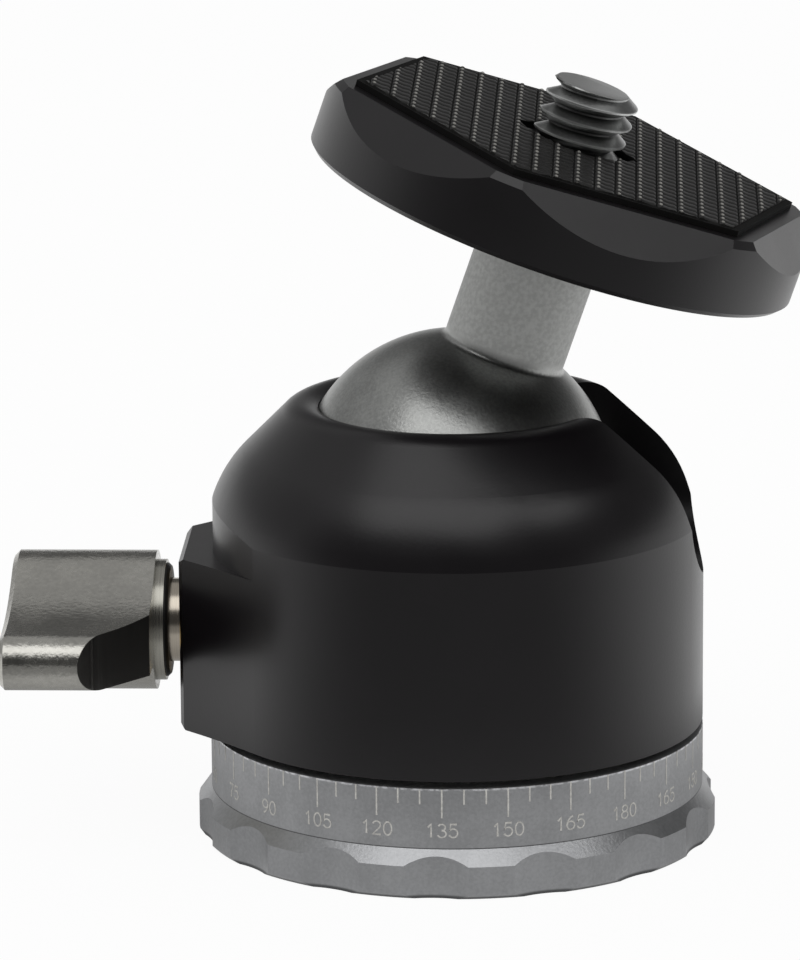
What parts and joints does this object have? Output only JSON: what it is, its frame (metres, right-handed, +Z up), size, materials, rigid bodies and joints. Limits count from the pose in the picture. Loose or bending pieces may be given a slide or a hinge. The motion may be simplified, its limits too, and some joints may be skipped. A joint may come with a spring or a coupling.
{
  "type": "tripod ball head",
  "caption": "Compact tripod ball head: leaning ball and round screw platform in a domed body with a drop notch, one clamp knob and a degree-marked panning base.",
  "frame": {"origin": "centre of the mouth of the tripod socket, in the underside of the base", "axes": "+Z up out of the base along the pan axis, +X towards the drop notch, -X towards the clamp knob"},
  "size_m": [0.0547, 0.036, 0.0535],
  "materials": {
    "grey_anodised": "satin titanium-grey anodised",
    "black_anodised": "satin black anodised",
    "blasted_ball": "fine bead-blasted gunmetal anodised",
    "steel": "turned steel",
    "stainless": "bright turned stainless steel",
    "grey_steel": "grey blasted stainless steel",
    "brass": "turned brass",
    "white_acetal": "natural acetal",
    "black_nylon": "moulded nylon",
    "rubber": "matt ribbed rubber"
  },
  "bodies": {
    "base": {"base_plate": "grey_anodised", "scale_ring": "grey_anodised", "tripod_bush": "steel", "pan_spindle": "steel", "spindle_screws": "steel", "lower_glide_washer": "white_acetal", "upper_glide_washer": "white_acetal"},
    "housing": {"housing": "black_anodised", "housing_floor": "black_anodised", "clamp_bush": "brass"},
    "seat": {"seat_cup": "white_acetal"},
    "liner": {"friction_liner": "white_acetal"},
    "ball": {"ball": "blasted_ball"},
    "platform": {"platform": "black_anodised", "rubber_pad": "rubber", "camera_stud": "grey_steel"},
    "plunger": {"clamp_plunger": "brass"},
    "knob": {"knob_shaft": "stainless", "knob_washer": "black_nylon", "knob_collar": "stainless", "knob_wing": "grey_anodised", "knob_screw": "steel"}
  },
  "joints": [
    {"name": "pan", "type": "hinge", "parent": "base", "child": "housing", "pos_m": [0, 0, 0], "axis": [0, 0, 1], "continuous": true},
    {"name": "side_tilt", "type": "hinge", "parent": "housing", "child": "liner", "pos_m": [0, 0, 0.0242], "axis": [1, 0, 0], "range_deg": [-20.95, 19.05]},
    {"name": "drop_tilt", "type": "hinge", "parent": "liner", "child": "ball", "pos_m": [0, 0, 0.0242], "axis": [0, 0.9999, 0.0166], "range_deg": [-39.1, 70.9]},
    {"name": "platform_spin", "type": "hinge", "parent": "ball", "child": "platform", "pos_m": [0, 0, 0.0242], "axis": [0.3272, -0.0157, 0.9448], "continuous": true},
    {"name": "clamp_travel", "type": "slide", "parent": "housing", "child": "plunger", "axis": [-1, 0, 0], "range_m": [0, 0.001]},
    {"name": "knob_turn", "type": "hinge", "parent": "plunger", "child": "knob", "pos_m": [-0.01893, 0, 0.01465], "axis": [-1, 0, 0], "range_deg": [0, 360]},
    {"name": "seat_lower", "type": "slide", "parent": "housing", "child": "seat", "axis": [0, 0, -1], "range_m": [0, 0.000466]}
  ],
  "couplings": [
    {"joint": "clamp_travel", "follows": "seat_lower", "ratio": 2.1445},
    {"joint": "knob_turn", "follows": "seat_lower", "rad_per_m": 13474}
  ]
}
